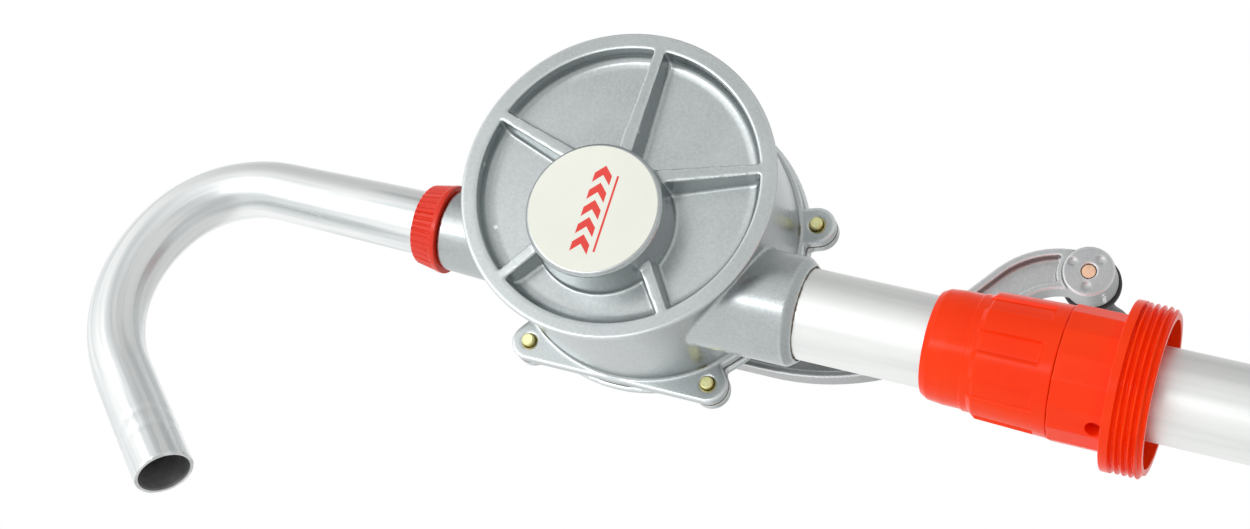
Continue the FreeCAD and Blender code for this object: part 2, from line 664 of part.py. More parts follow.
def vanes():
    """Two vanes in one slot; each tip is round and just clears the chamber."""
    tip_radius = value_of(size.vane_thickness) / 2
    reach = value_of(size.chamber_radius) - tip_radius - value_of(size.tip_clearance)
    tip = math.sqrt(reach ** 2 - value_of(size.eccentricity) ** 2 - value_of(size.rotor_rise) ** 2)
    width = size.rotor_front + size.rotor_back - 0.3
    back = -size.rotor_back + 0.15
    foot = value_of(size.spreader_radius) + 0.1
    for label, side in (("vane_upper", 1), ("vane_lower", -1)):
        plate = block(label + "_plate", size.vane_thickness, tip - foot, width,
                      (-size.vane_thickness / 2, min(side * foot, side * tip), back))
        edge = cylinder(label + "_edge", tip_radius, width, (0, side * tip, back))
        piece(fused(label + "_solid", plate, edge), label, ROTOR)
    piece(ring("vane_spreader_rod", NOTHING, size.spreader_radius, back + 1.5, back + width - 1.5),
          "vane_spreader", ROTOR)


# ---------------------------------------------------------------------------- crank
def rounded_path(corners):
    """Straight runs joined by tangent arcs; each corner is (x, y, radius of its arc)."""
    points = [Vector(x, y, 0) for x, y, radius in corners]
    edges = []
    start = points[0]
    for before, corner, after, (x, y, radius) in zip(points, points[1:], points[2:], corners[1:]):
        back = (before - corner).normalize()
        ahead = (after - corner).normalize()
        half = back.getAngle(ahead) / 2
        reach = radius / math.tan(half)
        inward = (back + ahead).normalize()
        middle = corner + inward * (radius / math.sin(half) - radius)
        edges.append(Part.LineSegment(start, corner + back * reach).toShape())
        edges.append(Part.Arc(corner + back * reach, middle, corner + ahead * reach).toShape())
        start = corner + ahead * reach
    edges.append(Part.LineSegment(start, points[-1]).toShape())
    return Part.Wire(edges)


# corners of the arm's middle line from the shaft, each (x, y, radius of its arc)
ARM_CORNERS = [(0.0, 0.0, 0.0), (-10.9, -22.0, 30.0), (-10.9, -95.1, 90.0), (45.0, -138.1, 28.0)]
# marks of the ejector pins on the knob, from the knob's axis
EJECTOR_MARKS = [(-6.0, -0.5), (2.3, 6.8), (5.0, -3.2)]


def arm_line():
    """Middle line of the arm, an S from the shaft to the handle."""
    return rounded_path(ARM_CORNERS + [(value_of(size.knob_x), value_of(size.knob_z), 0.0)])


def arm_slab(name, line, half_width, thickness, low):
    band = doc.addObject("Part::Offset2D", name + "_band")
    band.Source = line
    band.Mode = "Pipe"
    bind(band, Value=half_width)
    slab = doc.addObject("Part::Extrusion", name)
    slab.Base = band
    slab.DirMode = "Custom"
    slab.Dir = Vector(0, 0, 1)
    slab.Solid = True
    bind(slab, LengthFwd=thickness)
    slab.Placement = Placement(Vector(0, 0, value_of(low)), UPRIGHT)
    return slab


def crank_arm():
    back = -size.crank_front - size.crank_thickness
    knob_x, knob_z = size.knob_x, size.knob_z
    line = fixed("crank_line", arm_line())
    full = arm_slab("crank_bar", line, size.crank_half_width, size.crank_thickness, back)
    pocket_width = size.crank_half_width - size.crank_border
    front_pocket = arm_slab("crank_front_pocket", line, pocket_width, size.crank_relief + 1.0,
                            -size.crank_front - size.crank_relief)
    back_pocket = arm_slab("crank_back_pocket", line, pocket_width, size.crank_relief + 1.0, back - 1.0)
    hub_wall = cylinder("crank_hub_wall", size.hub_radius + 2.0, 30.0, (0, 0, back - 10.0))
    knob_wall = cylinder("crank_knob_wall", size.knob_radius + 2.4, 30.0, (knob_x, knob_z, back - 10.0))
    pockets = cut("crank_pockets", fused("crank_both_pockets", front_pocket, back_pocket),
                  fused("crank_walls", hub_wall, knob_wall))
    hub = cylinder("crank_hub", size.hub_radius, size.hub_back - size.crank_front - 0.5,
                   (0, 0, -size.hub_back))
    knob = cone("crank_knob", size.knob_radius + 0.5, size.knob_radius, size.knob_back - size.knob_front,
                (knob_x, knob_z, -size.knob_back))
    bar = cut("crank_relieved_bar", full, pockets)
    dimples = []
    for index, (across, up) in enumerate(EJECTOR_MARKS):
        at = (knob_x + across, knob_z + up, -size.knob_front - size.ejector_mark_depth)
        dimples.append(cylinder(f"crank_dimple_{index}", size.ejector_mark_radius, 2.0, at))
    bore = cylinder("crank_hub_bore", size.shaft_radius, 20.0, (0, 0, -size.hub_back - 1.0))
    hole = cylinder("crank_spindle_hole", size.rivet_radius + 0.3, 20.0,
                    (knob_x, knob_z, -size.knob_back - 1.0))
    solid = fused("crank_outside", bar, hub, knob)
    piece(cut("crank_arm_solid", solid, fused("crank_holes", bore, hole, *dimples)), "crank_arm", SHAFT)


def crank_fasteners():
    washer_back = -size.hub_back - size.crank_washer_thickness
    piece(ring("crank_washer_body", size.bolt_radius + 0.2, size.crank_washer_radius, washer_back,
               -size.hub_back), "crank_washer", SHAFT)
    head = hexagon("crank_bolt_head", size.bolt_head_across, size.bolt_head_height,
                   (0, 0, washer_back - size.bolt_head_height))
    shank = cylinder("crank_bolt_shank", size.bolt_radius, size.bolt_length, (0, 0, washer_back))
    piece(fused("crank_bolt_solid", head, shank), "crank_bolt", SHAFT)


def grip():
    seat = -size.grip_end + 6.0
    head_front = seat - 0.8
    start = -size.knob_back - 0.5
    piece(turned("grip_spindle_body", [
        (NOTHING, -size.knob_front - 0.5),
        (size.rivet_radius, -size.knob_front - 0.5),
        (size.rivet_radius, -size.knob_back),
        (size.spindle_radius, -size.knob_back),
        (size.spindle_radius, head_front),
        (size.spindle_head_radius, head_front),
        (size.spindle_head_radius, head_front - 3.0),
        (NOTHING, head_front - 3.0),
    ]), "grip_spindle", KNOB)
    piece(ring("grip_washer_body", size.spindle_radius + 0.1, size.spindle_head_radius - 0.2,
               head_front + 0.05, seat - 0.05), "grip_washer", KNOB)
    bore = size.spindle_radius + 0.1
    piece(turned("crank_grip_body", [
        (bore, start),
        (size.grip_collar - 0.6, start),
        (size.grip_collar, start - 0.8),
        (size.grip_collar, start - 2.6),
        (size.grip_neck + 0.8, start - 4.6),
        (size.grip_neck, start - 9.0),
        (size.grip_neck, start - 32.0),
        (size.grip_neck + 0.8, start - 40.0),
        (size.grip_belly - 3.2, start - 50.0),
        (size.grip_belly - 0.8, start - 60.0),
        (size.grip_belly, start - 70.0),
        (size.grip_belly - 0.2, start - 78.0),
        (size.grip_belly - 1.6, start - 86.0),
        (size.grip_belly - 2.6, -size.grip_end + 1.2),
        (size.grip_belly - 4.0, -size.grip_end),
        (size.grip_recess, -size.grip_end),
        (size.grip_recess, seat),
        (bore, seat),
    ]), "crank_grip", KNOB)


# ---------------------------------------------------------------------------- spout and union
UNION_GROOVES = 40


def spout_path(start):
    """Up, round the two arcs of the bend and down the straight run, in the spout's own frame."""
    half_turn = math.radians(value_of(size.spout_bend_angle)) / 2
    place = Vector(0, 0, value_of(size.spout_bend_start))
    heading = 0.0
    edges = []
    if start < place.z:
        edges.append(Part.LineSegment(Vector(0, 0, start), place).toShape())
    for radius in (value_of(size.spout_first_radius), value_of(size.spout_second_radius)):
        centre = place - Vector(math.cos(heading), 0, math.sin(heading)) * radius
        points = []
        for turn in (heading, heading + half_turn / 2, heading + half_turn):
            points.append(centre + Vector(math.cos(turn), 0, math.sin(turn)) * radius)
        edges.append(Part.Arc(*points).toShape())
        place = points[-1]
        heading += half_turn
    ahead = Vector(-math.sin(heading), 0, math.cos(heading))
    edges.append(Part.LineSegment(place, place + ahead * value_of(size.spout_run)).toShape())
    return Part.Wire(edges)


def swept(name, radius, start):
    circle = doc.addObject("Part::Circle", name + "_section")
    bind(circle, Radius=radius)
    circle.Placement = Placement(Vector(0, 0, start), UPRIGHT)
    sweep = doc.addObject("Part::Sweep", name)
    sweep.Sections = [circle]
    path = fixed(name + "_path", spout_path(start))
    sweep.Spine = (path, [f"Edge{number + 1}" for number in range(len(path.Shape.Edges))])
    sweep.Solid = True
    return sweep


def discharge_spout():
    lip_low = size.outlet_top + size.outlet_seal_thickness
    bend_start = value_of(size.spout_bend_start)
    lip = cylinder("spout_lip", size.lip_radius, size.lip_thickness, (0, 0, lip_low))
    leg = cone("spout_leg", size.spout_root_radius, size.spout_radius, size.spout_bend_start - lip_low,
               (0, 0, lip_low))
    bend = swept("spout_bend", size.spout_radius, bend_start)
    inside = swept("spout_inside", size.spout_radius - size.spout_wall, value_of(lip_low))
    solid = fused("spout_outside", lip, leg, bend)
    piece(cut("discharge_spout_solid", solid, inside), "discharge_spout", SPOUT)


def outlet_union():
    piece(ring("outlet_seal_body", size.outlet_port, size.lip_radius, size.outlet_top,
               size.outlet_top + size.outlet_seal_thickness), "outlet_seal", OUTLET)
    lip_top = size.outlet_top + size.outlet_seal_thickness + size.lip_thickness
    shoulder = size.union_top - size.union_web
    groove_low = size.union_bottom + 2.4
    piece(ring("outlet_slip_ring_body", size.union_bore - 0.15, size.lip_radius, lip_top + 0.05,
               shoulder - 0.05), "outlet_slip_ring", OUTLET)
    body = turned("union_turned_part", [
        (size.union_thread, size.union_bottom),
        (size.union_radius, size.union_bottom),
        (size.union_radius, size.union_bottom + 1.6),
        (size.union_top_radius + 1.4, groove_low),
        (size.union_top_radius, size.union_top - 0.8),
        (size.union_top_radius - 0.8, size.union_top),
        (size.union_bore, size.union_top),
        (size.union_bore, shoulder),
        (size.union_thread, shoulder),
    ])
    low, high = value_of(groove_low), value_of(size.union_top)
    wide, narrow = value_of(size.union_top_radius + 1.7), value_of(size.union_top_radius + 0.3)
    grooves = []
    for index, _, out in around(UNION_GROOVES):
        foot = out * wide + Vector(0, 0, low)
        head = out * narrow + Vector(0, 0, high)
        lean = Rotation(Vector(0, 0, 1), head - foot)
        grooves.append(cylinder(f"union_groove_{index}", size.union_flute, 12.0, foot, lean))
    piece(cut("outlet_union_solid", body, fused("union_grooves", *grooves)), "outlet_union_nut", OUTLET)


# ---------------------------------------------------------------------------- assembly
def check(obj):
    """Stop on a failed object, or a piece with no valid solid."""
    if {"Invalid", "Error"} & set(obj.State):
        raise RuntimeError(f"{obj.Label} failed: {obj.State}")


def write_pieces():
    os.makedirs("parts", exist_ok=True)
    for obj in doc.Objects:
        check(obj)
    for obj in pieces:
        shape = obj.Shape
        if shape.isNull() or not shape.isValid() or not shape.Solids:
            raise RuntimeError(f"{obj.Label} has no valid solid")
        print(f"{obj.Label}: {len(shape.Solids)} solid(s), {shape.Volume / 1000:.2f} cm3")
        shape.exportStep(f"parts/{obj.Label}.step")


bung_adapter()
gland_nut()
gland_parts()
suction_tube()
body_casing()
label_disc()
cover_gasket()
rear_cover()
cover_screws()
bearings_and_packing()
rotor()
vanes()
crank_arm()
crank_fasteners()
grip()
discharge_spout()
outlet_union()
doc.recompute()
write_pieces()
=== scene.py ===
import json
import math
import random

import bmesh
import bpy
from mathutils import Matrix, Quaternion, Vector

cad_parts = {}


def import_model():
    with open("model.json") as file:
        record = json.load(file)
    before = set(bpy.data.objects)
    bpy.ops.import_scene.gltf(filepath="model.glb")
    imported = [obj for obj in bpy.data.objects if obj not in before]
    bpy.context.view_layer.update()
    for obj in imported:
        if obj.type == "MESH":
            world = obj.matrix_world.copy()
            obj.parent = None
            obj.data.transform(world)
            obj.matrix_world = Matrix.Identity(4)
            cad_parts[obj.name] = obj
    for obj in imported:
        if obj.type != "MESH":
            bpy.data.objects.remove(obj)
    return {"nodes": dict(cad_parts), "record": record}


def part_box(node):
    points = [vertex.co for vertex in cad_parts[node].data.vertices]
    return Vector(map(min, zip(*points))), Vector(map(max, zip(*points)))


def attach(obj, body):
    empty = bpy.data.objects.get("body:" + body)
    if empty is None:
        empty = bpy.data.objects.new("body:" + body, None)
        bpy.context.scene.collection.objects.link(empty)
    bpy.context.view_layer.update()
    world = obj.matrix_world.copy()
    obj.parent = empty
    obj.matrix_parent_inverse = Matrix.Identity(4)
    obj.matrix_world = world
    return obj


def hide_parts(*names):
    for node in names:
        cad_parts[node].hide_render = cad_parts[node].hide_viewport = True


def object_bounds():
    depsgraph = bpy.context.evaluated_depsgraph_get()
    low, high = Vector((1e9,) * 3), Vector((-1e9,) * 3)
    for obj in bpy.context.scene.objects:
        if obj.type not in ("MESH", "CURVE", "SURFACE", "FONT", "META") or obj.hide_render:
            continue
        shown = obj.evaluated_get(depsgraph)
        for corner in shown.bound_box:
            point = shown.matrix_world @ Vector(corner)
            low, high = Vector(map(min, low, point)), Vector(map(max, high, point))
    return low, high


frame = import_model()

cad_bounds = [list(corner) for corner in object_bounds()]
nodes = frame["nodes"]
random.seed(7)

MM = 0.001
TAU = 2 * math.pi


# ------------------------------------------------------------------------- material building
# A noise takes a scale, its detail and its roughness; a bump takes (height, strength, distance).
class Nodes:
    """A material's node tree, with short calls for the nodes that it needs."""

    def __init__(self, name):
        self.material = bpy.data.materials.new(name)
        self.material.use_nodes = True
        self.tree = self.material.node_tree
        self.shader = self.tree.nodes["Principled BSDF"]

    def add(self, kind, **values):
        node = self.tree.nodes.new(kind)
        for name, value in values.items():
            setattr(node, name, value)
        return node

    def link(self, source, target):
        self.tree.links.new(source, target)

    def coords(self, stretch=(1.0, 1.0, 1.0), layer=None):
        """Object coordinates, or a vector layer of the mesh, scaled by stretch."""
        if layer:
            place = self.add("ShaderNodeAttribute", attribute_name=layer).outputs["Vector"]
        else:
            place = self.add("ShaderNodeTexCoord").outputs["Object"]
        mapping = self.add("ShaderNodeMapping")
        mapping.inputs["Scale"].default_value = stretch
        self.link(place, mapping.inputs["Vector"])
        return mapping.outputs["Vector"]

    def noise(self, where, scale, detail=4.0, rough=0.55):
        texture = self.add("ShaderNodeTexNoise")
        texture.inputs["Scale"].default_value = scale
        texture.inputs["Detail"].default_value = detail
        texture.inputs["Roughness"].default_value = rough
        self.link(where, texture.inputs["Vector"])
        return texture.outputs["Fac"]

    def ramp(self, source, stops):
        """Colour ramp; stops is a list of (place, colour or grey)."""
        node = self.add("ShaderNodeValToRGB")
        elements = node.color_ramp.elements
        while len(elements) > len(stops):
            elements.remove(elements[-1])
        while len(elements) < len(stops):
            elements.new(1.0)
        for element, (place, tone) in zip(elements, stops):
            element.position = place
            element.color = (*tone, 1.0) if isinstance(tone, tuple) else (tone, tone, tone, 1.0)
        self.link(source, node.inputs["Fac"])
        return node.outputs["Color"]

    def mix(self, factor, first, second):
        node = self.add("ShaderNodeMix", data_type="RGBA")
        for socket, value in (("Factor", factor), (6, first), (7, second)):
            target = node.inputs[socket]
            if isinstance(value, bpy.types.NodeSocket):
                self.link(value, target)
            else:
                target.default_value = (*value, 1.0) if isinstance(value, tuple) else value
        return node.outputs[2]

    def edges(self):
        """Grey that is light on raised edges and dark in hollows, from the mesh's own shape."""
        return self.add("ShaderNodeNewGeometry").outputs["Pointiness"]

    def bump(self, heights):
        """Bump from (height, strength, distance) layers, one on another."""
        normal = None
        for height, strength, distance in heights:
            node = self.add("ShaderNodeBump")
            node.inputs["Strength"].default_value = strength
            node.inputs["Distance"].default_value = distance
            self.link(height, node.inputs["Height"])
            if normal is not None:
                self.link(normal, node.inputs["Normal"])
            normal = node.outputs["Normal"]
        self.link(normal, self.shader.inputs["Normal"])

    def set(self, **values):
        """Shader sockets by name, with underscores for spaces."""
        for name, value in values.items():
            socket = self.shader.inputs[name.replace("_", " ")]
            if isinstance(value, bpy.types.NodeSocket):
                self.link(value, socket)
            elif isinstance(value, tuple):
                socket.default_value = (*value, 1.0)
            else:
                socket.default_value = value


def scaled(colour, factor):
    """The colour made darker or lighter, no part of it over 1."""
    return tuple(min(1.0, factor * part) for part in colour)


# Painted highlight: raised edges, found from the mesh's pointiness, are lightened towards a brighter copy
# of the light tone.
EDGE_HIGHLIGHT_STOPS = [(0.508, 0.0), (0.55, 0.9)]    # 0.5 is a flat surface, and more is a raised edge
EDGE_HIGHLIGHT_BRIGHT = 1.55


def metal(name, dark, light, rough, blotch=22.0, grain=900.0, grain_depth=0.06):
    """Cast or machined metal: slow tone changes, fine grain and a painted highlight along raised edges."""
    tree = Nodes(name)
    where = tree.coords()
    slow = tree.noise(where, blotch, 3.0)
    fine = tree.noise(where, grain, 3.0, 0.7)
    tone = tree.ramp(slow, [(0.3, dark), (0.7, light)])
    speck = tree.ramp(fine, [(0.28, scaled(dark, 0.80)), (0.5, dark), (0.74, light)])
    # painted highlight: raised edges take a brighter colour than the rest of the metal
    edge_highlight = tree.ramp(tree.edges(), EDGE_HIGHLIGHT_STOPS)
    colour = tree.mix(edge_highlight, tree.mix(0.45, tone, speck), scaled(light, EDGE_HIGHLIGHT_BRIGHT))
    low, high = rough
    tree.set(Base_Color=colour, Metallic=1.0, Roughness=tree.ramp(slow, [(0.3, low), (0.7, high)]))
    tree.bump([(slow, 0.08, 0.0006), (fine, grain_depth, 0.0002)])
    return tree.material


STREAK_STRETCH = 0.035    # scale of the streaks along the tube, against 1 across it
FINE_STREAKS = 6          # how many times finer the second set of streaks is
PATCHES, SCUFFS = 30.0, 260.0


def drawn_metal(name, dark, light, rough, streak, straightened=None):
    """Drawn tube: fine streaks along its length, small scuffs and a soft sheen.

    The streaks run along Z, or along Z of the mesh's vector layer named by straightened.
    """
    tree = Nodes(name)
    lengthwise = tree.coords((1.0, 1.0, STREAK_STRETCH), layer=straightened)
    fine = tree.noise(lengthwise, streak * FINE_STREAKS, 4.0, 0.6)
    broad = tree.noise(lengthwise, streak, 3.0, 0.5)
    slow = tree.noise(tree.coords(), PATCHES, 4.0, 0.6)
    scuff = tree.noise(tree.coords(), SCUFFS, 6.0, 0.75)
    colour = tree.ramp(broad, [(0.38, dark), (0.56, light)])
    colour = tree.mix(tree.ramp(scuff, [(0.68, 0.0), (0.76, 0.35)]), colour, scaled(dark, 0.5))
    low, high = rough
    streaks = tree.ramp(broad, [(0.3, low), (0.7, high)])
    patches = tree.ramp(slow, [(0.35, low), (0.65, high)])
    tree.set(Base_Color=colour, Metallic=1.0, Roughness=tree.mix(0.5, streaks, patches))
    tree.bump([(broad, 0.16, 0.0004), (fine, 0.08, 0.0002)])
    return tree.material


TONE_CHANGE, SPECKS = 35.0, 420.0


def plastic(name, dark, light, rough, grain=500.0, depth=0.03, shine=0.5, specks=None):
    """Moulded plastic with a slight tone change, fine skin and a few specks."""
    tree = Nodes(name)
    where = tree.coords()
    slow = tree.noise(where, TONE_CHANGE, 3.0)
    fine = tree.noise(where, grain, 4.0, 0.6)
    colour = tree.ramp(slow, [(0.3, dark), (0.7, light)])
    if specks:
        spots = tree.noise(where, SPECKS, 5.0, 0.8)
        colour = tree.mix(tree.ramp(spots, [(0.70, 0.0), (0.78, 0.6)]), colour, specks)
    low, high = rough
    tree.set(Base_Color=colour, Roughness=tree.ramp(fine, [(0.3, low), (0.7, high)]),
             Specular_IOR_Level=shine)
    tree.bump([(slow, 0.05, 0.0005), (fine, depth, 0.0002)])
    return tree.material


def make_materials():
    """Every slot of the record, by name, and two finishes that are only part of a piece.

    Each call gives the dark and the light tone and the range of roughness; then, for a metal, the
    scales of the tone changes and of the grain and the grain's depth, and for a plastic, the scale
    and the depth of its skin.
    """
    return {
        "cast_aluminium": metal("die_cast", (0.435, 0.465, 0.47), (0.565, 0.60, 0.60), (0.24, 0.36)),
        "crank_casting": metal("crank_cast", (0.40, 0.41, 0.415), (0.60, 0.61, 0.615), (0.34, 0.48),
                               40.0, 1400.0, 0.12),
        "spout_aluminium": drawn_metal("spout_drawn", (0.67, 0.705, 0.71), (0.90, 0.92, 0.915),
                                       (0.24, 0.40), 260.0, "straightened"),
        "tube_aluminium": drawn_metal("tube_anodised", (0.80, 0.82, 0.805), (0.89, 0.905, 0.89),
                                      (0.36, 0.48), 140.0),
        "red_plastic": plastic("red_moulded", (0.95, 0.034, 0.001), (0.98, 0.050, 0.002),
                               (0.16, 0.26), shine=0.17),
        "collar_plastic": plastic("collar_moulded", (0.72, 0.026, 0.008), (0.80, 0.038, 0.012),
                                  (0.14, 0.22), shine=0.35),
        "grip_plastic": plastic("grip_moulded", (0.010, 0.010, 0.011), (0.022, 0.022, 0.024),
                                (0.38, 0.55), 900.0, 0.10),
        "label_vinyl": plastic("label_print", (0.80, 0.81, 0.725), (0.84, 0.85, 0.765),
                               (0.38, 0.46), specks=(0.52, 0.54, 0.50)),
        "screw_brass": metal("screw_yellow", (0.52, 0.42, 0.12), (0.86, 0.76, 0.34), (0.22, 0.42),
                             240.0, 1500.0, 0.2),
        "copper_steel": metal("screw_copper", (0.34, 0.18, 0.12), (0.62, 0.40, 0.28), (0.25, 0.4),
                              300.0, 1800.0, 0.2),
        "zinc_steel": metal("zinc_plate", (0.52, 0.54, 0.55), (0.68, 0.70, 0.72), (0.24, 0.36), 80.0),
        "shaft_steel": metal("turned_steel", (0.42, 0.42, 0.43), (0.56, 0.56, 0.57), (0.18, 0.30), 60.0),
        "bronze": metal("sintered_bronze", (0.42, 0.28, 0.12), (0.60, 0.42, 0.20), (0.32, 0.5),
                        60.0, 1800.0, 0.2),
        "vane_plastic": plastic("vane_moulded", (0.05, 0.05, 0.055), (0.09, 0.09, 0.10), (0.35, 0.5)),
        "seal_rubber": plastic("seal_nitrile", (0.012, 0.012, 0.012), (0.03, 0.03, 0.03), (0.5, 0.7),
                               700.0, 0.08),
        "gasket_fibre": plastic("gasket_sheet", (0.10, 0.085, 0.06), (0.20, 0.17, 0.12), (0.7, 0.85),
                                1200.0, 0.2),
        "label_ink": plastic("ink_red", (0.74, 0.035, 0.025), (0.80, 0.05, 0.035), (0.34, 0.42)),
        "spout_inside": metal("spout_bore", (0.36, 0.36, 0.365), (0.56, 0.56, 0.57), (0.45, 0.6), 60.0),
    }


# ------------------------------------------------------------------------- mesh building
def new_piece(name, vertices, faces, body, slot, *stands_for, smooth=True, material=None):
    """A mesh in millimetres as a piece of a body, in the finish of a slot."""
    mesh = bpy.data.meshes.new(name)
    mesh.from_pydata([[value * MM for value in vertex] for vertex in vertices], [], faces)
    mesh.validate()
    item = bpy.data.objects.new(name, mesh)
    bpy.context.scene.collection.objects.link(item)
    tidy = bmesh.new()
    tidy.from_mesh(mesh)
    bmesh.ops.recalc_face_normals(tidy, faces=tidy.faces)
    tidy.to_mesh(mesh)
    tidy.free()
    return finish_piece(item, body, slot, *stands_for, smooth=smooth, material=material)


def finish_piece(item, body, slot, *stands_for, smooth=True, material=None):
    """Finish, shading, body and the CAD nodes that the piece stands for."""
    item.data.materials.clear()
    item.data.materials.append(material or materials[slot])
    if smooth:
        for face in item.data.polygons:
            face.use_smooth = True
    if stands_for:
        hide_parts(*stands_for)
    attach(item, body)
    return item


def split_edges(item, degrees):
    """Shade smooth up to this angle."""
    item.data.set_sharp_from_angle(angle=math.radians(degrees))


ROUNDING_STEPS = 5
NEARLY_STRAIGHT = math.radians(88)    # half the angle of a corner that is left as it is


def soften(points):
    """Round the corners of a closed outline; each point is (r, z, rounding radius)."""
    count = len(points)
    soft = []
    for index, (r, z, radius) in enumerate(points):
        here = Vector((r, z))
        if radius <= 0:
            soft.append((r, z))
            continue
        before = Vector(points[index - 1][:2]) - here
        after = Vector(points[(index + 1) % count][:2]) - here
        half = before.angle(after) / 2
        if half > NEARLY_STRAIGHT:
            soft.append((r, z))
            continue
        reach = min(radius / math.tan(half), 0.45 * before.length, 0.45 * after.length)
        start, end = here + before.normalized() * reach, here + after.normalized() * reach
        for step in range(ROUNDING_STEPS):
            share = step / (ROUNDING_STEPS - 1)
            first = start.lerp(here, share)
            second = here.lerp(end, share)
            soft.append(tuple(first.lerp(second, share)))
    return soft


def fill_in(outline, step):
    """The outline with extra points so that no run is longer than step."""
    dense = []
    for (r, z), (next_r, next_z) in zip(outline, outline[1:] + outline[:1]):
        length = math.hypot(next_r - r, next_z - z)
        parts = max(1, math.ceil(length / step))
        for part in range(parts):
            share = part / parts
            dense.append((r + (next_r - r) * share, z + (next_z - z) * share))
    return dense


def ring_faces(rings, size):
    """Faces between rings of size points each, the last ring joined to the first."""
    faces = []
    for ring in range(rings):
        here, ahead = ring * size, (ring + 1) % rings * size
        for index in range(size):
            after = (index + 1) % size
            faces.append((here + index, ahead + index, ahead + after, here + after))
    return faces


def spun(outline, count, shape, centre=(0.0, 0.0)):
    """Vertices and faces of a closed outline of (r, z) turned about a vertical axis.

    shape(r, z, angle) gives each point its own radius and height.
    """
    vertices = []
    for turn in range(count):
        angle = TAU * turn / count
        for r, z in outline:
            r, z = shape(r, z, angle)
            vertices.append((centre[0] + r * math.cos(angle), centre[1] + r * math.sin(angle), z))
    return vertices, ring_faces(count, len(outline))


def smoothstep(low, high, value):
    """0 below low, 1 above high, and a smooth rise between them."""
    share = min(1.0, max(0.0, (value - low) / (high - low)))
    return share * share * (3 - 2 * share)


def centre_of(node):
    """Middle of a CAD node, in millimetres."""
    low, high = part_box(node)
    return [(a + b) / 2 / MM for a, b in zip(low, high)]


def apply_modifiers(item):
    """The mesh as its modifiers leave it, with none left on the object."""
    depsgraph = bpy.context.evaluated_depsgraph_get()
    mesh = bpy.data.meshes.new_from_object(item.evaluated_get(depsgraph))
    item.modifiers.clear()
    item.data = mesh


# ------------------------------------------------------------------------- castings
FACE_X, FACE_Z = 23.5, 189.0       # axis of the casing's round face
RIBS = 5
RIB_FOOT_Y = -20.5                  # inside the face, so that a skirt joins it
RIB_RIM_Y, RIB_RISE = -29.8, 3.0    # top of a rib at the rim, and how far it rises towards the boss
RIB_INNER, RIB_OUTER = 6.0, 52.7    # where the rise ends and where it starts, from the axis
SKIRT_NEAR = (8.0, 4.7, 2.6)        # distance from the axis, half width at the foot and at the top
SKIRT_FAR = (50.6, 3.1, 1.95)
FILLET_OUTLINE = [(53.0, -21.0), (47.6, -21.0), (47.6, -22.52), (49.6, -22.9), (51.0, -23.8),
                  (51.8, -25.2), (52.25, -27.4), (53.0, -27.4)]
FILLET_TURNS = 144


def face_roots(mesh):
    """Roots of the casing's face: draft on its five ribs and a wide fillet inside its rim."""
    roots = bmesh.new()
    roots.from_mesh(mesh)
    for index in range(RIBS):
        rib_skirt(roots, TAU * index / RIBS)
    rim_fillet(roots)
    roots.to_mesh(mesh)
    roots.free()


def rib_skirt(mesh, angle):
    """A bar over one rib, with sloping sides and wider towards the boss."""
    out = Vector((math.cos(angle), 0, math.sin(angle)))
    side = Vector((-math.sin(angle), 0, math.cos(angle)))
    ends = []
    for reach, foot, top in (SKIRT_NEAR, SKIRT_FAR):
        high = RIB_RIM_Y - RIB_RISE * (RIB_OUTER - reach) / (RIB_OUTER - RIB_INNER)
        middle = Vector((FACE_X, 0, FACE_Z)) + out * reach
        corners = ((-foot, RIB_FOOT_Y), (foot, RIB_FOOT_Y), (top, high), (-top, high))
        ends.append([mesh.verts.new((middle + side * across + Vector((0, y, 0))) * MM)
                     for across, y in corners])
    first, last = ends
    faces = [mesh.faces.new(first), mesh.faces.new(list(reversed(last)))]
    for corner in range(len(first)):
        after = (corner + 1) % len(first)
        faces.append(mesh.faces.new((first[corner], last[corner], last[after], first[after])))
    bmesh.ops.recalc_face_normals(mesh, faces=faces)


def rim_fillet(mesh):
    """Wide fillet between the face and the inside of the rim."""
    points = []
    for turn in range(FILLET_TURNS):
        angle = TAU * turn / FILLET_TURNS
        for r, y in FILLET_OUTLINE:
            place = (FACE_X + r * math.cos(angle), y, FACE_Z + r * math.sin(angle))
            points.append(mesh.verts.new([value * MM for value in place]))
    faces = [mesh.faces.new([points[corner] for corner in corners])
             for corners in ring_faces(FILLET_TURNS, len(FILLET_OUTLINE))]
    bmesh.ops.recalc_face_normals(mesh, faces=faces)


def casting(name, node, body, slot, voxel, rounds, before=None):
    """The node's own shape as a casting: corners and roots rounded as a die leaves them.

    voxel is the size of its cells in millimetres, rounds the number of rounding passes, and
    before adds to the mesh first.
    """
    item = bpy.data.objects.new(name, nodes[node].data.copy())
    if before:
        before(item.data)
    bpy.context.scene.collection.objects.link(item)
    weld = item.modifiers.new("weld", "WELD")
    weld.merge_threshold = 0.01 * MM
    remesh = item.modifiers.new("cells", "REMESH")
    remesh.mode = "VOXEL"
    remesh.voxel_size = voxel * MM
    remesh.use_smooth_shade = True
    soft = item.modifiers.new("rounding", "SMOOTH")
    soft.factor = 0.5
    soft.iterations = rounds
    apply_modifiers(item)
    return finish_piece(item, body, slot, node)


# ------------------------------------------------------------------------- red plastic parts
FACETS = 16
ADAPTER_RUN, ADAPTER_TURNS = 0.22, 224    # longest run of the outline, and steps in a turn
THREAD_PITCH = 2.309
THREAD_FLANK = 0.42                 # half the width of a tooth at its root, as a share of the pitch
THREAD_CREST = 1.25                 # over 1, this cuts the tooth off flat
VENT_RADIUS, VENT_HEIGHT, VENT_DIRECTION = 2.9, 6.5, math.radians(211.0)
VENT_DRILL, VENT_REACH = 10.0, 23.6    # length of the tool and its middle, from the axis


def facet(r, angle, flatness):
    """Radius of a many-sided body whose corners lie on r."""
    half = math.pi / FACETS
    across = angle % (2 * half) - half
    return r * (1 - flatness * (1 - math.cos(half) / math.cos(across)))


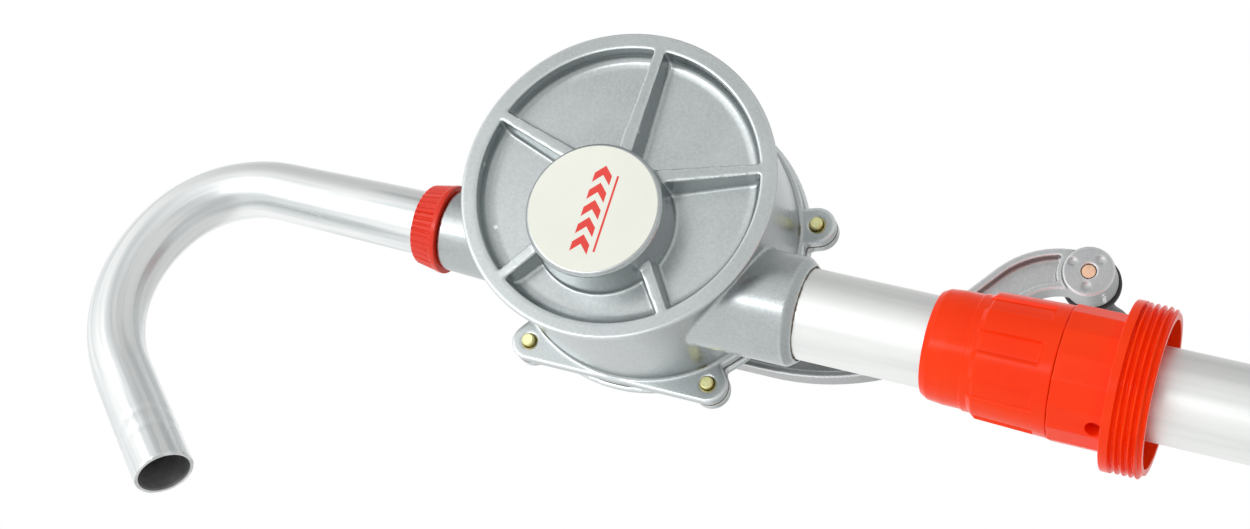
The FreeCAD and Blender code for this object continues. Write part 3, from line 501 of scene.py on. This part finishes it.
def adapter():
    """Bung adapter: helical thread, stop ring, faceted body and vent hole."""
    low, high = (corner[2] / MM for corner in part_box("bung_adapter"))
    crest, root = 29.8, 28.2
    ring, ring_top, body, top = 30.0, 3.3, 24.2, 22.7
    spigot, bore, guide, cavity, roof = 19.3, 16.9, 19.4, 26.0, 1.5
    guide_foot = low + 4.0

    def shape(r, z, angle):
        if r > cavity + 0.5 and z < 0:
            phase = (z / THREAD_PITCH - angle / TAU) % 1.0
            tooth = max(0.0, 1 - abs(phase - 0.5) / THREAD_FLANK)
            rise = smoothstep(low + 0.2, low + 1.4, z) * min(1.0, tooth * THREAD_CREST)
            return min(r, root + (crest - root) * rise), z
        if body - 1.0 < r <= body + 0.01 and z > ring_top:
            inside = smoothstep(ring_top, ring_top + 0.8, z)
            return facet(r, angle, inside), z
        return r, z

    outline = soften([
        (bore, guide_foot, 0.4), (guide, guide_foot, 0.4), (guide, roof, 0.6), (cavity, roof, 0.6),
        (cavity, low, 0.3), (crest, low, 0.3), (crest, 0.0, 0.0), (ring, 0.0, 0.4),
        (ring, ring_top, 0.6), (body, ring_top, 0.5), (body, top, 0.5), (spigot, top, 0.3),
        (spigot, high, 0.5), (bore, high, 0.4),
    ])
    vertices, faces = spun(fill_in(outline, ADAPTER_RUN), ADAPTER_TURNS, shape)
    item = new_piece("bung_adapter_moulding", vertices, faces, "adapter", "red_plastic",
                     "bung_adapter")
    drill_vent(item)
    split_edges(item, 50)


def drill_vent(item):
    """The vent hole, from the body's side into the open underside."""
    bpy.ops.mesh.primitive_cylinder_add(vertices=48, radius=VENT_RADIUS * MM, depth=VENT_DRILL * MM)
    drill = bpy.context.object
    out = Vector((math.cos(VENT_DIRECTION), math.sin(VENT_DIRECTION), 0))
    drill.location = out * VENT_REACH * MM + Vector((0, 0, VENT_HEIGHT * MM))
    drill.rotation_euler = (0, math.pi / 2, VENT_DIRECTION)
    bpy.context.view_layer.update()
    hole = item.modifiers.new("vent", "BOOLEAN")
    hole.operation = "DIFFERENCE"
    hole.solver = "EXACT"
    hole.object = drill
    apply_modifiers(item)
    bpy.data.objects.remove(drill)


GLAND_RUN, GLAND_TURNS = 0.45, 288
PANELS = 8
FIRST_PANEL = math.radians(41.0)
PANEL_DEPTH = 1.05
PANEL_SIDES = math.radians(9.0), math.radians(10.2)    # from its middle: floor ends, rim starts
PANEL_FOOT = 27.8, 28.5                                # heights where the panel begins


def gland_nut():
    """Gland nut: eight sunk grip panels, a plain lower band and a stepped, tapering neck."""
    bottom, grip_top, shoulder, top = 22.9, 49.4, 55.8, 69.0
    foot, grip, neck, lip = 23.4, 22.5, 20.4, 18.9
    inner, bore = 19.6, 17.2
    panel_floor = neck + 0.55

    def shape(r, z, angle):
        if r < panel_floor or z > grip_top + 1.9:
            return r, z
        step = TAU / PANELS
        across = abs((angle - FIRST_PANEL + step / 2) % step - step / 2)
        side = 1 - smoothstep(*PANEL_SIDES, across)
        sunk = PANEL_DEPTH * side * smoothstep(*PANEL_FOOT, z)
        return max(panel_floor, r - sunk), z

    outline = soften([
        (inner, bottom, 0.3), (foot, bottom, 0.5), (grip, grip_top, 0.8),
        (neck + 0.5, grip_top + 2.0, 0.5), (neck + 0.5, grip_top + 4.4, 0.25),
        (neck, grip_top + 4.8, 0.25), (neck, top - 8.0, 4.0), (lip + 0.9, top - 2.5, 1.5),
        (lip - 0.4, top, 0.8), (bore, top, 0.5), (bore, shoulder, 0.2), (inner, shoulder, 0.3),
    ])
    vertices, faces = spun(fill_in(outline, GLAND_RUN), GLAND_TURNS, shape)
    item = new_piece("gland_nut_moulding", vertices, faces, "gland_nut", "red_plastic", "gland_nut")
    split_edges(item, 50)


UNION_RUN = 0.3
KNURLS, KNURL_TURNS = 40, 12    # ribs, and steps across each
KNURL_DEPTH = 0.75
KNURL_SIDES = 0.20, 0.42    # from the middle of a rib, as shares of its width: top ends, root starts


def union_nut():
    """Knurled collar of the spout: uneven ribs over a wider plain rim."""
    x, y, _ = centre_of("outlet_union_nut")
    low, high = (corner[2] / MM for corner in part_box("outlet_union_nut"))
    rim, foot, head, inner, bore, shoulder = 16.75, 16.4, 15.0, 13.9, 12.7, high - 1.5
    heights = [random.uniform(0.7, 1.0) for _ in range(KNURLS)]
    places = [random.uniform(-0.10, 0.10) for _ in range(KNURLS)]

    def shape(r, z, angle):
        if r < head - 0.3 or z < low + 1.7:
            return r, z
        turn = angle / TAU * KNURLS
        rib = int(turn) % KNURLS
        across = abs((turn % 1.0) - 0.5 - places[rib])
        groove = smoothstep(*KNURL_SIDES, across)
        wobble = 0.05 * math.sin(z * 2.3 + rib * 1.7)
        depth = KNURL_DEPTH * heights[rib] + wobble
        return r - depth * groove * smoothstep(low + 1.7, low + 2.5, z), z

    outline = soften([
        (inner, low, 0.3), (rim, low, 0.4), (rim, low + 1.6, 0.4), (foot, low + 2.4, 0.3),
        (head, high - 0.8, 0.4), (head - 0.8, high, 0.3), (bore, high, 0.3), (bore, shoulder, 0.0),
        (inner, shoulder, 0.2),
    ])
    vertices, faces = spun(fill_in(outline, UNION_RUN), KNURLS * KNURL_TURNS, shape, (x, y))
    item = new_piece("union_collar", vertices, faces, "union_nut", "collar_plastic",
                     "outlet_union_nut")
    split_edges(item, 60)


# ------------------------------------------------------------------------- spout
SPOUT_OFFSET = 1.3
SPOUT_LOW = 261.5
SPOUT_TURN = math.radians(15.0)
SPOUT_WALL = 1.3
BEND_START, BEND_RADII, BEND_HALF, SPOUT_RUN = 328.0, (42.0, 59.0), math.radians(68.0), 49.0
SPOUT_STEP, SPOUT_AROUND = 1.2, 96
RING_MARKS = ((22.0, 0.30), (15.0, 0.24))    # distance from the open end, and depth
RING_MARK_WIDTH = 0.9


def spout_line(step):
    """Points and headings along the spout's middle line in its own plane: (x, z, heading)."""
    line = []
    count = math.ceil((BEND_START - SPOUT_LOW) / step)
    for index in range(count):
        line.append((0.0, SPOUT_LOW + (BEND_START - SPOUT_LOW) * index / count, 0.0))
    x, z, heading = 0.0, BEND_START, 0.0
    for radius in BEND_RADII:
        cx, cz = x - radius * math.cos(heading), z - radius * math.sin(heading)
        count = math.ceil(radius * BEND_HALF / step)
        for index in range(count):
            turn = heading + BEND_HALF * index / count
            line.append((cx + radius * math.cos(turn), cz + radius * math.sin(turn), turn))
        heading += BEND_HALF
        x, z = cx + radius * math.cos(heading), cz + radius * math.sin(heading)
    count = math.ceil(SPOUT_RUN / step)
    for index in range(count + 1):
        reach = SPOUT_RUN * index / count
        line.append((x - reach * math.sin(heading), z + reach * math.cos(heading), heading))
    return line


def spout_radius(length, total, turn):
    """Outer radius of the tube at a length along it: it tapers, and it is flattened in the bend."""
    straight = BEND_START - SPOUT_LOW
    r = 12.05 - 1.15 * smoothstep(0.0, straight + 20.0, length)
    r += 0.25 * smoothstep(total - 40.0, total - 16.0, length)
    into_bend = smoothstep(straight - 6, straight + 14, length)
    out_of_bend = smoothstep(total - 62, total - 40, length)
    outer_side, inner_side = max(0.0, math.cos(turn)), max(0.0, -math.cos(turn))
    flattened = 0.35 * abs(math.sin(turn)) - 0.55 * outer_side - 0.1 * inner_side
    r += into_bend * (1 - out_of_bend) * flattened
    for from_end, depth in RING_MARKS:
        r -= depth * math.exp(-((length - (total - from_end)) / RING_MARK_WIDTH) ** 2)
    return r - 0.05 * smoothstep(total - 15.0, total - 14.0, length)


def spout_loops():
    """Rings along the outside, at the ragged cut end and back inside, and the spout's length.

    A ring is (x, z, heading, length, whether it is inside, how much the cut takes off its radius).
    """
    line = spout_line(SPOUT_STEP)
    lengths = [0.0]
    for (x, z, _), (next_x, next_z, _) in zip(line, line[1:]):
        lengths.append(lengths[-1] + math.hypot(next_x - x, next_z - z))
    rows = [(*place, length) for place, length in zip(line, lengths)]
    x, z, heading, total = rows[-1]
    before_cut = (x + 0.3 * math.sin(heading), z - 0.3 * math.cos(heading), heading, total)
    outside = [(*row, False, 0.0) for row in rows[:-1] + [before_cut]]
    cut = [(*rows[-1], False, 0.25), (*rows[-1], True, -0.35)]
    inside = [(*row, True, 0.0) for row in reversed(rows)]
    return outside, cut, inside, total


def spout():
    """Bent outlet tube with a lip at its foot, thinner in the bend, with ring marks near its end."""
    outside, cut, inside, total = spout_loops()
    loops = outside + cut + inside
    swing = Quaternion((0, 0, 1), SPOUT_TURN)
    side = Vector((0, 1, 0))
    rough = [random.uniform(-0.10, 0.10) for _ in range(SPOUT_AROUND)]
    vertices, straight_places = [], []
    for x, z, heading, length, is_inside, trim in loops:
        out = Vector((math.cos(heading), 0, math.sin(heading)))
        ahead = Vector((-math.sin(heading), 0, math.cos(heading)))
        foot = 1.0 - smoothstep(2.3, 2.7, length)
        for step in range(SPOUT_AROUND):
            turn = TAU * step / SPOUT_AROUND
            r = spout_radius(length, total, turn) + (-SPOUT_WALL if is_inside else foot) - trim
            if trim:
                r += rough[step] * 0.6
            point = Vector((x, 0, z)) + (out * math.cos(turn) + side * math.sin(turn)) * r
            if trim:
                point += ahead * rough[step] * 0.5
            point = swing @ point + Vector((SPOUT_OFFSET, 0, 0))
            vertices.append(tuple(point))
            straight_places += [r * math.cos(turn) * MM, r * math.sin(turn) * MM, length * MM]
    faces = [(a, d, c, b) for a, b, c, d in ring_faces(len(loops), SPOUT_AROUND)]
    item = new_piece("spout_tube", vertices, faces, "spout", "spout_aluminium", "discharge_spout")
    layer = item.data.attributes.new("straightened", "FLOAT_VECTOR", "POINT")
    layer.data.foreach_set("vector", straight_places)
    item.data.materials.append(materials["spout_inside"])
    inner_start = (len(outside) + 1) * SPOUT_AROUND
    for face in item.data.polygons:
        if min(face.vertices) >= inner_start:
            face.material_index = 1
    split_edges(item, 40)


# ------------------------------------------------------------------------- socket mouth
BEAD_TUBE = 16.62      # just off the suction tube
BEAD_TURNS = 160


def socket_bead():
    """Uneven bead of sealant where the suction tube enters the inlet socket."""
    socket_foot = 116.0
    reach = [0.35 + 0.55 * random.random() ** 2 for _ in range(BEAD_TURNS)]
    drop = [0.1 + 0.5 * random.random() ** 2 for _ in range(BEAD_TURNS)]
    vertices = []
    for turn in range(BEAD_TURNS):
        angle = TAU * turn / BEAD_TURNS
        wide = (reach[turn] + reach[turn - 1]) / 2
        low = socket_foot - (drop[turn] + drop[turn - 1]) / 2
        section = ((BEAD_TUBE - 0.2, low + 0.1), (BEAD_TUBE + 0.15, low),
                   (BEAD_TUBE + wide, low + 0.2), (BEAD_TUBE + wide + 0.1, socket_foot + 0.2),
                   (BEAD_TUBE - 0.2, socket_foot + 0.2))
        for r, z in section:
            vertices.append((r * math.cos(angle), r * math.sin(angle), z))
    new_piece("socket_sealant", vertices, ring_faces(BEAD_TURNS, len(section)), "pump",
              "gasket_fibre")


# ------------------------------------------------------------------------- label
ARROWS, FIRST_ARROW, ARROW_STEP = 5, -17.0, 6.6
ARROW_HALF, ARROW_ARM, ARROW_POINT, ARROW_NOTCH = 3.3, 3.6, 7.0, 3.4
BAR = (-15.5, 13.5, -5.9, -5.1)     # left, right, bottom and top
INK_LIFT = 0.02                     # print above the label's face


def label():
    """Generic print on the label disc: a row of arrowheads over a bar."""
    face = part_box("label_disc")[0][1] / MM - INK_LIFT
    x, _, z = centre_of("label_disc")
    vertices, faces = [], []
    for index in range(ARROWS):
        at = FIRST_ARROW + index * ARROW_STEP
        start = len(vertices)
        vertices += [(at, -ARROW_HALF), (at + ARROW_ARM, -ARROW_HALF), (at + ARROW_POINT, 0.0),
                     (at + ARROW_ARM, ARROW_HALF), (at, ARROW_HALF), (at + ARROW_NOTCH, 0.0)]
        faces.append((start, start + 1, start + 2, start + 5))
        faces.append((start + 2, start + 3, start + 4, start + 5))
    left, right, bottom, top = BAR
    start = len(vertices)
    vertices += [(left, bottom), (right, bottom), (right, top), (left, top)]
    faces.append((start, start + 1, start + 2, start + 3))
    placed = [(x + across, face, z + up) for across, up in vertices]
    new_piece("label_marks", placed, faces, "pump", "label_vinyl", smooth=False,
              material=materials["label_ink"])


# ------------------------------------------------------------------------- carried-over parts
def repaint():
    """Every CAD part that stays gets its slot's material."""
    for part in frame["record"]["subparts"]:
        item = nodes[part["node"]]
        if item.hide_render:
            continue
        finish = materials[part["material_slot"]]
        if not item.material_slots:
            item.data.materials.append(finish)
        for slot in item.material_slots:
            slot.material = finish


# ------------------------------------------------------------------------- camera and light
CAMERA_PLACE = Vector((-0.2218, -0.8157, -0.1103))
CAMERA_FORWARD = Vector((0.2506, 0.9095, 0.3316))
CAMERA_RIGHT = Vector((0.2987, 0.2531, -0.9202))
CAMERA_LENS, CAMERA_SENSOR = 70.76, 36.0


def camera():
    """The view of the reference: from the lower left front, rolled so that the tube lies level."""
    data = bpy.data.cameras.new("camera")
    data.sensor_width = CAMERA_SENSOR
    data.lens = CAMERA_LENS
    item = bpy.data.objects.new("camera", data)
    forward = CAMERA_FORWARD.normalized()
    up = CAMERA_RIGHT.normalized().cross(forward).normalized()
    turn = Matrix((forward.cross(up), up, -forward)).transposed()
    item.matrix_world = Matrix.Translation(CAMERA_PLACE) @ turn.to_4x4()
    bpy.context.scene.collection.objects.link(item)
    bpy.context.scene.camera = item


# (towards, where the shade starts, where it is full, its darkest value); the places are cosines
SHADES = [
    ((1.00, 0.00, 0.10), 0.50, 0.97, 0.54),
    ((0.30, -0.90, -0.30), 0.55, 1.00, 0.88),
    ((-0.15, 0.85, -0.50), 0.78, 1.00, 0.45),
]


def world():
    """Plain white to the eye; as light, a pale studio with a few darker patches."""
    sky = bpy.data.worlds.new("studio")
    sky.use_nodes = True
    tree = sky.node_tree
    background = tree.nodes["Background"]
    bpy.context.scene.world = sky
    bpy.context.scene.view_settings.view_transform = "Standard"

    def add(kind, **values):
        node = tree.nodes.new(kind)
        for name, value in values.items():
            setattr(node, name, value)
        return node

    place = add("ShaderNodeTexCoord")
    tone = None
    for toward, start, end, darkest in SHADES:
        facing = add("ShaderNodeVectorMath", operation="DOT_PRODUCT")
        facing.inputs[1].default_value = Vector(toward).normalized()
        tree.links.new(place.outputs["Generated"], facing.inputs[0])
        spread = add("ShaderNodeMapRange", interpolation_type="SMOOTHSTEP")
        for socket, value in zip(("From Min", "From Max", "To Min", "To Max"), (start, end, 1.0, darkest)):
            spread.inputs[socket].default_value = value
        tree.links.new(facing.outputs["Value"], spread.inputs["Value"])
        if tone is None:
            tone = spread.outputs["Result"]
        else:
            product = add("ShaderNodeMath", operation="MULTIPLY")
            tree.links.new(tone, product.inputs[0])
            tree.links.new(spread.outputs["Result"], product.inputs[1])
            tone = product.outputs["Value"]
    seen = add("ShaderNodeLightPath")
    choice = add("ShaderNodeMix", data_type="FLOAT")
    tree.links.new(seen.outputs["Is Camera Ray"], choice.inputs["Factor"])
    tree.links.new(tone, choice.inputs["A"])
    choice.inputs["B"].default_value = 1.0
    tree.links.new(choice.outputs["Result"], background.inputs["Strength"])
    background.inputs["Color"].default_value = (1.0, 1.0, 1.0, 1.0)


# (name, place, target, width and height, power)
LIGHTS = [
    ("strip", (-0.41, -1.42, 0.79), (0.02, 0, 0.19), (0.28, 1.1), 3.4),
    ("panel", (-0.13, -0.82, 0.80), (-0.08, 0, 0.40), (0.75, 0.62), 1.40),
]


def area_light(name, place, target, size, power):
    """A soft box at place that faces target."""
    data = bpy.data.lights.new(name, "AREA")
    data.shape = "RECTANGLE"
    data.size, data.size_y = size
    data.energy = power
    item = bpy.data.objects.new(name, data)
    item.location = place
    item.rotation_euler = (Vector(target) - Vector(place)).to_track_quat("-Z", "Y").to_euler()
    bpy.context.scene.collection.objects.link(item)


FLOOR_SIZE, FLOOR_GAP = 12.0, 0.004


def floor():
    """Pale paper just below the foot of the suction tube."""
    low = cad_bounds[0][2]
    bpy.ops.mesh.primitive_plane_add(size=FLOOR_SIZE, location=(0, 0, low - FLOOR_GAP))
    ground = bpy.context.object
    ground.name = "floor"
    tree = Nodes("floor_paper")
    grain = tree.noise(tree.coords(), 60.0)
    tree.set(Base_Color=tree.ramp(grain, [(0.3, 0.66), (0.7, 0.71)]), Roughness=0.85)
    ground.data.materials.append(tree.material)


materials = make_materials()
casting("casing_casting", "body_casing", "pump", "cast_aluminium", 0.55, 3, face_roots)
casting("cover_casting", "rear_cover", "pump", "cast_aluminium", 0.7, 3)
casting("crank_casting", "crank_arm", "crank", "crank_casting", 0.45, 4)
adapter()
gland_nut()
union_nut()
spout()
socket_bead()
label()
repaint()
camera()
world()
floor()
for light in LIGHTS:
    area_light(*light)
